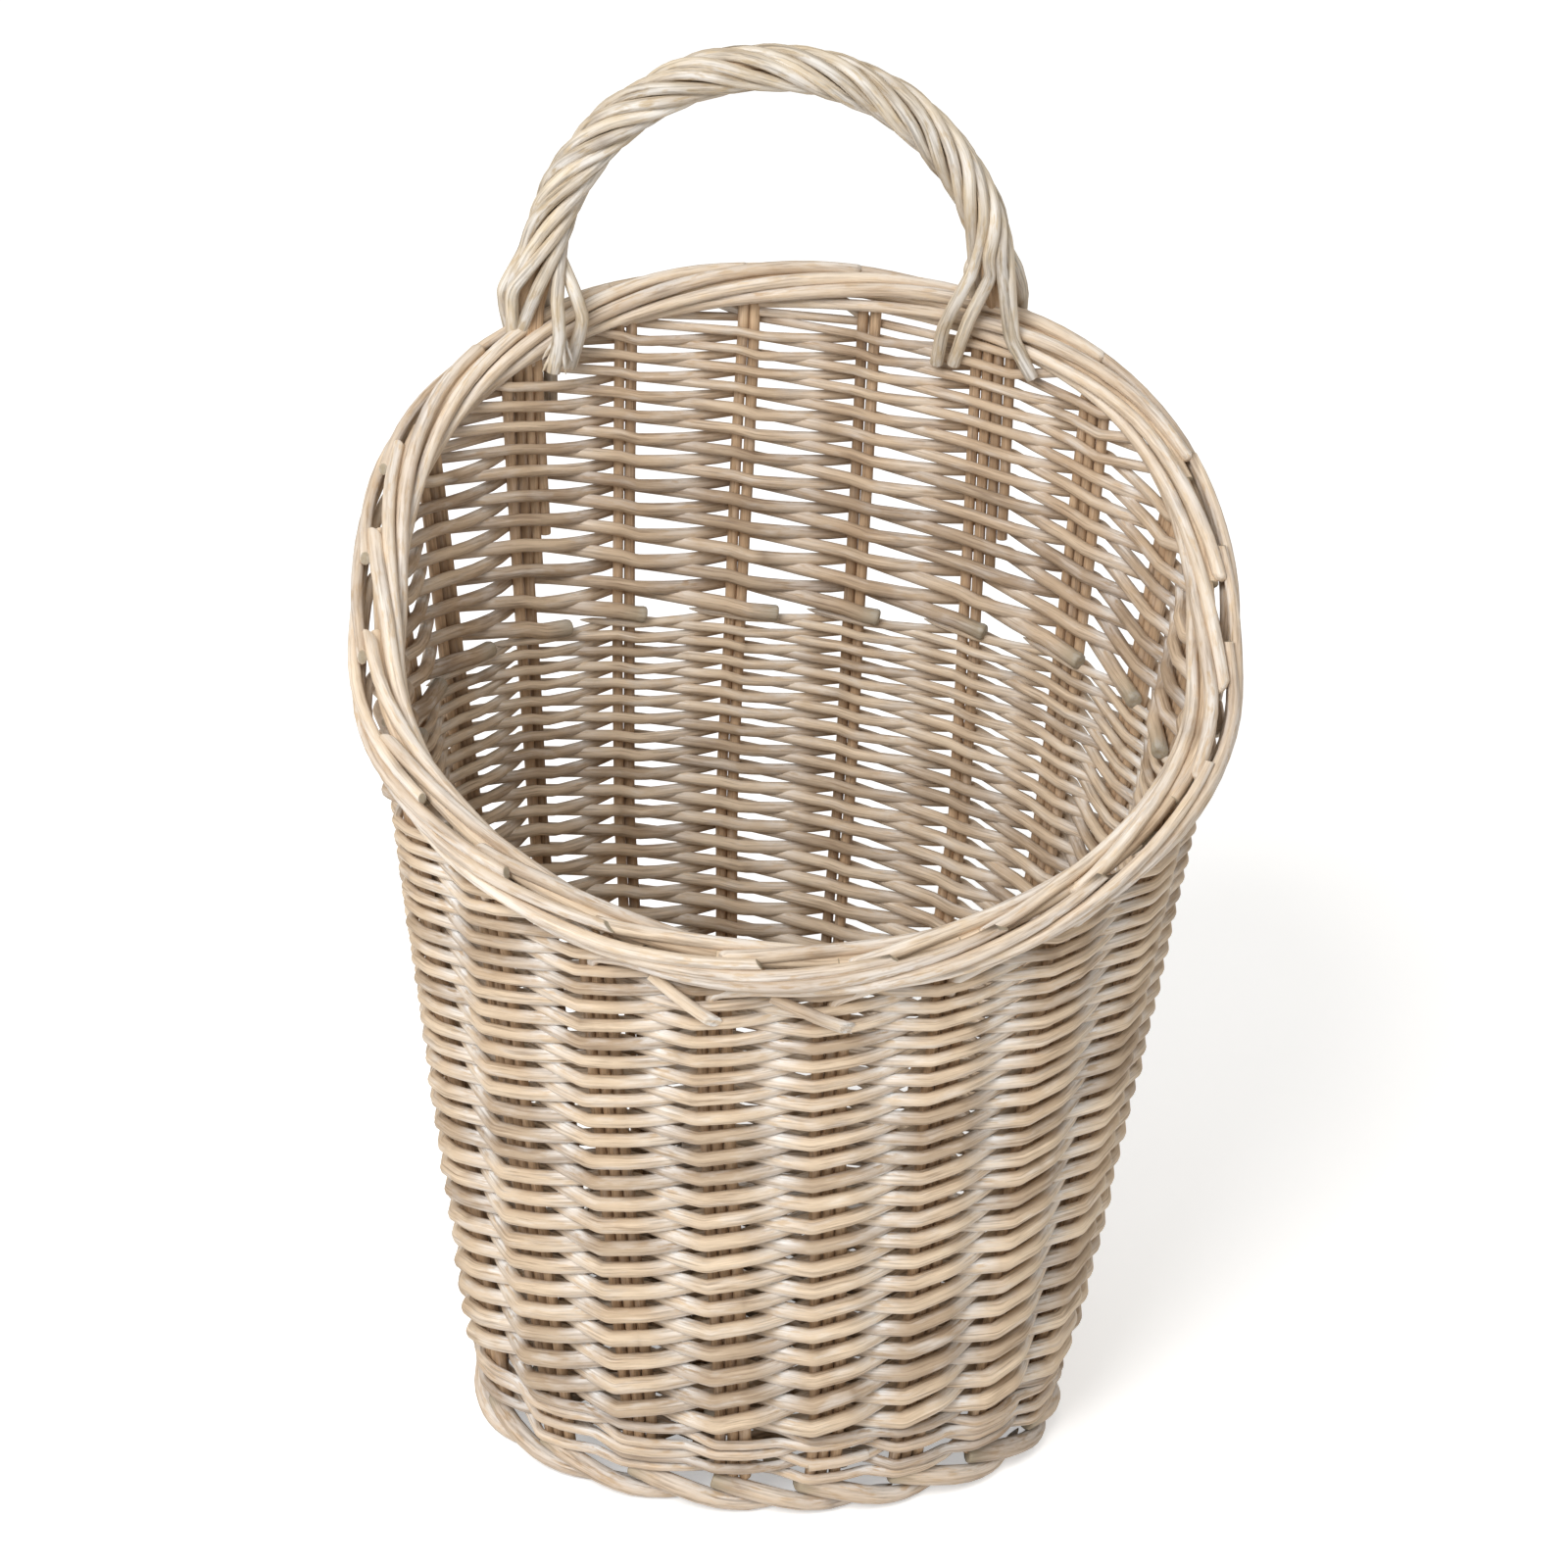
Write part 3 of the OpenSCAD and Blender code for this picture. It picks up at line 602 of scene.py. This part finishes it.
# Along a foot rod: share of its length, height, distance outside the stake line, radius
FOOT_ROD = np.array([
    (0.00, 12.2, 3.2, 3.3), (0.25, 9.0, 4.6, 3.7), (0.50, 4.7, 4.9, 3.4),
    (0.70, 2.9, 3.2, 2.8), (0.92, 2.3, -1.6, 2.0), (1.00, 2.1, -2.6, 1.7),
])
for j in range(STAKES):
    piece = Piece(f"foot_border_rod_{j + 1:02d}")
    r = rand(31, j)
    share = np.linspace(0, 1, 16)
    z, out, size = (np.interp(share, FOOT_ROD[:, 0], FOOT_ROD[:, c]) for c in (1, 2, 3))
    w = stake_w(j + r.uniform(-0.08, 0.12) + share * r.uniform(1.8, 2.0))
    path = wall(w, 0) + out[:, None] * outward(w, 0) + np.stack([0 * z, 0 * z, z], 1)
    path = thin_out(soften(np.column_stack([path, size * r.uniform(0.94, 1.02)]), 4))
    # Pale wash and painted highlight, growing towards the rod's pointed end
    wash_and_highlight = 0.3 + 0.6 * np.linspace(0, 1, len(path))
    slant = (r.uniform(-0.3, 0.5), 0)
    ends = ("butt", "point")
    piece.rod(path[:, :3], path[:, 3], (32, j), wash_and_highlight=wash_and_highlight, ends=ends, slant=slant, stain=5)
    piece.build(FOOT, "willow_foot", "foot_border_rods")

# ---- base ----

base_low, base_high = box_mm("base_sticks")
base_mid = (base_low[2] + base_high[2]) / 2
STICKS, STICK_GAP, STICK_R = 7, 25.0, 3.2
WEAVER_PITCH, WEAVER_R = 4.8, 1.9


def base_size(inset):
    """Half width, front reach and back reach of the base, that far inside the stake line."""
    k = base_mid / REF_H
    return (
        FOOT_HALF_W + (BODY_HALF_W - FOOT_HALF_W) * k - inset,
        FOOT_FRONT + (BODY_FRONT - FOOT_FRONT) * k - inset,
        FOOT_BACK + (BODY_BACK - FOOT_BACK) * k - inset,
    )


for number in range(STICKS):
    x = (number - STICKS // 2) * STICK_GAP
    a, f, b = base_size(12)
    y0 = -f * math.sqrt(1 - (x / a) ** 2) - DEPTH_SHIFT
    y1 = b * (1 - (x / a) ** 2) ** (BACK_POWER / 2) - DEPTH_SHIFT
    ys = np.linspace(y0 - 8, y1 + 8, 16)
    piece = Piece(f"base_stick_{number + 1}")
    piece.rod(np.stack([0 * ys + x, ys, 0 * ys + base_mid], 1), STICK_R, (41, number))
    piece.build(BASE, "willow_base", "base_sticks")

weave_low, weave_high = box_mm("base_weavers_front", "base_weavers_middle", "base_weavers_back")
rows = int((weave_high[1] - weave_low[1]) / WEAVER_PITCH)
BASE_PARTS = ("front", "middle", "back")
weavers = {part: Piece(f"base_weavers_{part}_rods") for part in BASE_PARTS}
for n in range(rows):
    y = weave_low[1] + (n + 0.5) * (weave_high[1] - weave_low[1]) / rows
    local = y + DEPTH_SHIFT
    a, f, b = base_size(9)
    inside = (-local / f) ** 2 if local < 0 else (local / b) ** (2 / BACK_POWER)
    reach = a * math.sqrt(max(1 - inside, 0.02))
    run = [[-reach, y, base_mid + 1, 1.8, 0.3]]
    for i in range(-(STICKS // 2), STICKS // 2 + 1):
        x = i * STICK_GAP
        if abs(x) + 4 < reach:
            z = base_mid + (5.2 if (i + n) % 2 == 0 else -5.2)
            run += [[x - 2, y, z, WEAVER_R, 0], [x + 2, y, z, WEAVER_R, 0]]
            # Pale wash and painted highlight, strongest between sticks
            run += [[x + STICK_GAP / 2, y, base_mid, WEAVER_R, 1]]
    run = [q for q in run if q[0] < reach - 3] + [[reach, y, base_mid + 1, 1.8, 0.3]]
    path = thin_out(soften(run, 2.5))
    part = BASE_PARTS[min(n * 3 // rows, 2)]
    weavers[part].rod(path[:, :3], path[:, 3], (42, n), wash_and_highlight=path[:, 4])
for part, piece in weavers.items():
    piece.build(BASE, "willow_base", f"base_weavers_{part}")

# ---- border ----

BORDER_NODES = ("front_border_rods", "left_border_rods", "right_border_rods", "back_border_rods")
# Radii of the border's rods, from the first end to the last
OUTER_R, INNER_R, MIDDLE_R = (2.1, 2.3, 1.85), (2.5, 2.45, 1.85), 2.3


def border_centre(w):
    z = rim_z(w)
    return wall(w, z) + BORDER_OUT * outward(w, z)


def round_border(j, q, across, up):
    """Point at winding angle q of the border, 0 outwards and 90 up, over stake position j."""
    w = stake_w(j)
    c = border_centre(w)
    d = unit(border_centre(w + 1.5) - border_centre(w - 1.5))
    n = outward(w, rim_z(w))
    u = unit(np.cross(n, d))
    q = np.radians(q)
    return c + (across * np.cos(q))[:, None] * n + (up * np.sin(q))[:, None] * u


def waver(r, share, size):
    """A slow random drift along a rod."""
    return np.interp(share, np.linspace(0, 1, 6), r.uniform(-size, size, 6))


for j in range(STAKES):
    r = rand(51, j)
    share = np.linspace(0, 1, 26)
    # outer rod: the stake's own end, bent over and laid along the outside
    outer = Piece(f"border_outer_rod_{j + 1:02d}")
    q = -62 + 114 * share + waver(r, share, 4)
    reach = 2.95 + r.uniform(-0.25, 0.2)
    path = round_border(j + 0.35 + share * reach, q, 7.6 + waver(r, share, 0.6), 6.2 + waver(r, share, 0.5))
    w = stake_w(j, rim_z(stake_w(j)))
    normal = outward(w, rim_z(w))
    rise = [wall(w, rim_z(w) - 18) + 1.0 * normal, wall(w, rim_z(w) - 11.5) + 3.2 * normal]
    path = np.concatenate([rise, path])
    size = np.interp(np.arange(len(path)), [0, len(path) * 0.6, len(path) - 1], OUTER_R)
    size *= r.uniform(0.92, 1.06)
    path = thin_out(soften(np.column_stack([path, size]), 3.0))
    # Pale wash and painted highlight in slow bands along the rod
    wash_and_highlight = 0.35 + 0.3 * np.sin(np.linspace(0, 9, len(path)) + 6 * r.uniform()) ** 2
    sideways = unit(path[:, :3] * [1, 1, 0])
    outer.rod(path[:, :3], path[:, 3], (52, j), up=sideways, wash_and_highlight=wash_and_highlight, slant=(0, r.uniform(0.6, 1.4)))
    outer.build(BORDER, "willow_border", *BORDER_NODES)
    # inner rod: starts on top with its butt end showing and winds over to the inside
    inner = Piece(f"border_inner_rod_{j + 1:02d}")
    begin = r.uniform(56, 70)
    q = begin + (262 - begin) * share ** 0.92 + waver(r, share, 3)
    reach = 4.1 + r.uniform(-0.3, 0.3)
    at = j + 0.1 + r.uniform(-0.15, 0.15) + share * reach
    sink = np.interp(share, [0, 0.14], [2.4 if 6 < j < 14 else 0.6, 0])
    path = round_border(at, q, 7.3 - sink + waver(r, share, 0.5), 6.3 - sink + waver(r, share, 0.5))
    size = np.interp(share, [0, 0.5, 1], INNER_R) * r.uniform(0.9, 1.06)
    path = thin_out(soften(np.column_stack([path, size]), 3.0))
    # Pale wash and painted highlight in slow bands along the rod
    wash_and_highlight = 0.35 + 0.3 * np.sin(np.linspace(0, 9, len(path)) + 6 * r.uniform()) ** 2
    slant = (r.uniform(-1.2, 1.2), 0)
    inner.rod(path[:, :3], path[:, 3], (53, j), wash_and_highlight=wash_and_highlight, ends=("round", "cut"), slant=slant)
    inner.build(BORDER, "willow_border", *BORDER_NODES)

# Rods in the middle of the bundle
for j in range(STAKES):
    r = rand(54, j)
    share = np.linspace(0, 1, 20)
    path = round_border(j + share * 3.4, 80 + 110 * share + waver(r, share, 12), 3.0, 2.4)
    piece = Piece(f"border_middle_rod_{j + 1:02d}")
    path = thin_out(soften(np.column_stack([path, MIDDLE_R * r.uniform(0.92, 1.05) + 0 * share]), 3.0))
    piece.rod(path[:, :3], path[:, 3], (56, j))
    piece.build(BORDER, "willow_border", *BORDER_NODES)

# Two cut ends that come out below the front of the border: stake position and length in stake gaps
CUT_ENDS = ((8.48, 0.52), (9.46, 0.62))
CUT_END_LOW, CUT_END_DROP = 9.5, 10.5
for number, (j, reach) in enumerate(CUT_ENDS):
    share = np.linspace(0, 1, 12)
    w = stake_w(j + share * reach)
    z = rim_z(w) - CUT_END_LOW - CUT_END_DROP * share ** 1.1
    out = 4.6 + 3.4 * np.sin(share * np.pi * 0.6)
    path = wall(w, z) + out[:, None] * outward(w, z)
    piece = Piece(f"border_cut_end_{number + 1}")
    path = thin_out(soften(np.column_stack([path, 1.9 + 0.3 * share]), 2))
    # Pale wash and painted highlight, growing towards the fresh cut end
    wash_and_highlight = np.linspace(0.2, 1, len(path)) ** 2
    piece.rod(path[:, :3], path[:, 3], (55, number), wash_and_highlight=wash_and_highlight, ends=("cut", "fresh"), slant=(0, -1.5))
    piece.build(BORDER, "willow_border", *BORDER_NODES)

# ---- handle ----

hang = next(m for m in frame["record"]["mounts"] if m["name"] == "handle_hang")["pos_m"]
rope_low, rope_high = box_mm(*(f"rope_strand_{k + 1}" for k in range(5)))
ARCH_R, ROPE_R, LEG_HALF_GAP, FOOT_LIFT = 80.0, 8.3, 84.0, 11.0
HANDLE_X, HANDLE_Y, ARCH_Z = hang[0] / MM, hang[1] / MM, rope_high[2] - ROPE_R - ARCH_R


def leg_base(x, leg):
    """Middle of the border under a foot of the handle, at x and over stake group leg."""
    _, y, z = border_centre(float(stake_w(leg)))
    return np.array([x, y, z])


left_base = leg_base(HANDLE_X - LEG_HALF_GAP, LEFT_LEG)
right_base = leg_base(HANDLE_X + LEG_HALF_GAP, RIGHT_LEG)
left_foot, right_foot = (base + [0, 0, FOOT_LIFT] for base in (left_base, right_base))
sweep = np.radians(np.linspace(0, 180, 90))
arch_x, arch_z = HANDLE_X - ARCH_R * np.cos(sweep), ARCH_Z + ARCH_R * np.sin(sweep)
arch = np.stack([arch_x, 0 * sweep + HANDLE_Y, arch_z], 1)
# The rope's centre line from foot to foot, the length along it, and its outer side
spine = soften(np.concatenate([[left_foot], arch, [right_foot]]), 6.0, 1.0)
spine_run = np.concatenate([[0], np.cumsum(np.linalg.norm(np.diff(spine, axis=0), axis=1))])
spine_out = unit(np.cross(unit(np.gradient(spine, axis=0)), [0, 1.0, 0]))
ROPE_TURNS = -3.0
BACK = np.array([0, 1.0, 0])


def rope_frame(share):
    """Points and outward directions of the rope's centre line at shares of its length."""
    at = share * spine_run[-1]
    point = np.stack([np.interp(at, spine_run, spine[:, c]) for c in range(3)], -1)
    out = np.stack([np.interp(at, spine_run, spine_out[:, c]) for c in range(3)], -1)
    return point, unit(out)


# Where the rods of the rope go at its feet: x, y, z from the middle of the border under each foot
LEFT_WAYS = {
    "loop": [(-8, -3, 24), (-8, 8, 12), (-5, 13, -6), (-4, 9, -24)],
    "beside": [(-5, -4, 24), (-5, 1, 4)],
    "through": [(3, -5, 26), (-4, 0, 6)],
    "hang": [(11, -8, 22), (12, -9, 10), (9, -10, -4)],
    "tuck": [(15, -4, 25), (19, -5, 14), (15, 0, -6)],
    "behind": [(0, 7, 22), (1, 13, 2), (2, 9, -24)],
    "behind too": [(7, 8, 24), (8, 15, 2), (8, 11, -24)],
}
RIGHT_WAYS = {
    "far": [(-11, -13, 24), (-20, -8, 2), (-22, -3, -14)],
    "next": [(-6, -14, 24), (-13, -10, 4), (-16, -5, -14)],
    "front": [(0, -15, 22), (3, -14, 0), (11, -15, -14)],
    "loop": [(5, -6, 24), (8, 2, 12), (8, 13, -4), (7, 9, -22)],
    "core": [(-12, -7, 24), (-8, 3, 6)],
    "behind": [(-5, 0, 22), (-2, 13, 2), (-2, 9, -24)],
}
# The eight rods of the rope: strand, angle round the rope, ways at the left and right foot
ROPE_RODS = [
    (0, -22.5, "through", "behind"), (0, 22.5, "beside", "core"), (1, 67.5, "loop", "core"),
    (2, 112.5, "loop", "far"), (2, 157.5, "behind", "next"), (3, 202.5, "behind too", "front"),
    (4, 247.5, "tuck", "front"), (4, 292.5, "hang", "loop"),
]
# The CAD's loops that each strand's ends stand for
LOOP_NODES = ([], ["left_over_loop"], ["right_tuck_loops"], [], ["left_tuck_loop", "right_over_loop"])
FOOT_SIZE = 2.45     # radius of the rope's rods at its feet
ROPE_ROD_R = 2.25    # their usual radius along the rope
ROPE_WIND_R = 6.3    # radius of the circle that they are wound on
FRAYS = 9            # fibres at the frayed end


def foot_way(base, points, n, r):
    """A rope rod's way below the rope, turning slowly round its neighbour."""
    points = np.array(points, float) + base
    turn = np.radians(180 * n + 50 * np.arange(len(points)) + r.uniform(-20, 20))
    return points + 0.9 * np.stack([np.cos(turn), 0.8 * np.sin(turn), 0 * turn], 1)


for k in range(len(LOOP_NODES)):
    piece = Piece(f"rope_strand_{k + 1}_rods")
    share = np.linspace(0.0, 1.0, 150)
    point, out = rope_frame(share)
    for n, (strand, angle, left_way, right_way) in enumerate(ROPE_RODS):
        if strand != k:
            continue
        r = rand(61, n)
        drift = np.interp(share, np.linspace(0, 1, 18), r.uniform(-8, 8, 18))
        turn = np.radians(angle - 2 + 360 * ROPE_TURNS * share + drift)
        away = ROPE_WIND_R + np.interp(share, np.linspace(0, 1, 16), r.uniform(-0.5, 0.4, 16))
        aim = np.cos(turn)[:, None] * out + np.sin(turn)[:, None] * BACK
        body = (point + away[:, None] * aim)[14:-14]
        left = foot_way(left_base, LEFT_WAYS[left_way], n, r)
        right = foot_way(right_base, RIGHT_WAYS[right_way], n, r)
        path = np.concatenate([left[::-1], body, right])
        sizes = ROPE_ROD_R * r.uniform(0.86, 1.08, 11)
        size = np.interp(np.linspace(0, 1, len(body)), np.linspace(0, 1, 11), sizes)
        sizes = np.concatenate([[FOOT_SIZE] * len(left), size, [FOOT_SIZE] * len(right)])
        smooth = thin_out(soften(np.column_stack([path, sizes]), 2.6))
        # Pale wash and painted highlight in bands along the rod
        wash_and_highlight = 0.35 + 0.5 * np.sin(np.linspace(0, 30, len(smooth)) + 6 * r.uniform()) ** 2
        piece.rod(smooth[:, :3], smooth[:, 3], (62, n), up=BACK, knots=50, wash_and_highlight=wash_and_highlight)
    if k == 4:
        # The loose end under the left foot is frayed.
        for n in range(FRAYS):
            r = rand(64, n)
            start = np.array(LEFT_WAYS["hang"][-2]) + r.uniform(-1.6, 1.6, 3) + left_base
            drop = np.array([r.uniform(-4, 2), r.uniform(-2, 1), r.uniform(-12, -7)])
            path = soften([start, start + drop * [0.4, 0.7, 0.5], start + drop], 1.5)
            # Pale wash and painted highlight all along the fibre
            wash_and_highlight = np.ones(len(path))
            piece.rod(path, 0.7, (65, n), up=BACK, sides=6, wash_and_highlight=wash_and_highlight, ends=("round", "point"))
    piece.build(ROPE, "willow_rope", f"rope_strand_{k + 1}", *LOOP_NODES[k])

# The core rods: angle round the rope and how far apart they end
CORE_RODS = ((90, 0), (210, -5), (330, 5))
for k, (turn, x) in enumerate(CORE_RODS):
    piece = Piece(f"core_rod_{k + 1}_rod")
    point, out = rope_frame(np.linspace(0.05, 0.95, 70))
    a = math.radians(turn)
    body = point + 2.6 * (math.cos(a) * out + math.sin(a) * BACK)
    left = left_base + [(-x * 0.6, 0, 0), (-x * 0.6, 1, 9), (-x * 0.6, 2, 18)]
    right = right_base + [(x * 0.6 - 2, -7, 18), (x * 0.5 - 1, -2, 9), (x * 0.4, 2, 0)]
    path = thin_out(soften(np.concatenate([left, body, right]), 4))
    piece.rod(path, 2.3, (63, k), up=BACK)
    piece.build(STAKE, "willow_stakes", f"core_rod_{k + 1}")

# ---- stage, lights and camera ----

FLOOR_Z = -0.5 * MM      # the floor and lights are in metres


def make_floor():
    """A plain pale floor. The camera sees it a little brighter than it is, to hide where it ends."""
    mesh = bpy.data.meshes.new("floor")
    corners = [(x, y, FLOOR_Z) for x, y in ((-4, -4), (4, -4), (4, 6), (-4, 6))]
    mesh.from_pydata(corners, [], [(0, 1, 2, 3)])
    made = bpy.data.objects.new("floor", mesh)
    bpy.context.scene.collection.objects.link(made)
    plain = bpy.data.materials.new("floor")
    plain.use_nodes = True
    nodes, links = plain.node_tree.nodes, plain.node_tree.links
    shade = nodes["Principled BSDF"].inputs
    shade["Base Color"].default_value = (0.93, 0.93, 0.93, 1)
    shade["Roughness"].default_value = 0.9
    shade["Emission Color"].default_value = (1, 1, 1, 1)
    seen = nodes.new("ShaderNodeLightPath")
    lift = nodes.new("ShaderNodeMath")
    lift.operation = "MULTIPLY"
    lift.inputs[1].default_value = 0.40
    links.new(seen.outputs["Is Camera Ray"], lift.inputs[0])
    links.new(lift.outputs[0], shade["Emission Strength"])
    mesh.materials.append(plain)


def make_world():
    """Soft light from all round, in front of a white backdrop."""
    world = bpy.data.worlds.new("studio")
    bpy.context.scene.world = world
    world.use_nodes = True
    nodes, links = world.node_tree.nodes, world.node_tree.links
    glow, backdrop = nodes["Background"], nodes.new("ShaderNodeBackground")
    for shader, colour, strength in ((glow, (1.0, 0.985, 0.955, 1), 0.57), (backdrop, (1, 1, 1, 1), 1.0)):
        shader.inputs["Color"].default_value = colour
        shader.inputs["Strength"].default_value = strength
    seen = nodes.new("ShaderNodeLightPath")
    choice = nodes.new("ShaderNodeMixShader")
    links.new(seen.outputs["Is Camera Ray"], choice.inputs[0])
    links.new(glow.outputs[0], choice.inputs[1])
    links.new(backdrop.outputs[0], choice.inputs[2])
    links.new(choice.outputs[0], nodes["World Output"].inputs[0])


def lamp(name, place, size, power):
    """A round soft light that shines on the middle of the basket."""
    data = bpy.data.lights.new(name, "AREA")
    data.shape, data.size, data.energy = "DISK", size, power
    made = bpy.data.objects.new(name, data)
    bpy.context.scene.collection.objects.link(made)
    made.location = place
    made.rotation_mode = "QUATERNION"
    made.rotation_quaternion = (Vector((0, 0, 0.2)) - Vector(place)).to_track_quat("-Z", "Y")


CAMERA_PLACE = (-0.054198, -1.250040, 0.904522)
CAMERA_AIM = (0.03698, 0.88244, -0.46897)
CAMERA_ROLL = math.radians(2.37)
SENSOR, LENS = 36, 93.15


def make_camera():
    """The camera at the photo's angle, which is tilted a little to one side."""
    data = bpy.data.cameras.new("camera")
    data.sensor_width, data.lens = SENSOR, LENS
    data.clip_start, data.clip_end = 0.05, 50
    made = bpy.data.objects.new("camera", data)
    bpy.context.scene.collection.objects.link(made)
    aim = Vector(CAMERA_AIM).normalized()
    level = aim.cross(Vector((0, 0, 1))).normalized()
    cos, sin = math.cos(CAMERA_ROLL), math.sin(CAMERA_ROLL)
    right = cos * level + sin * level.cross(aim)
    upward = cos * level.cross(aim) - sin * level
    turned = Matrix((right, upward, -aim)).transposed().to_4x4()
    made.matrix_world = Matrix.Translation(CAMERA_PLACE) @ turned
    bpy.context.scene.camera = made


make_floor()
make_world()
lamp("key", (-1.0, -1.45, 1.9), 1.4, 46)
lamp("fill", (1.6, -1.2, 1.0), 1.4, 1)
make_camera()
bpy.context.scene.view_settings.view_transform = "Standard"
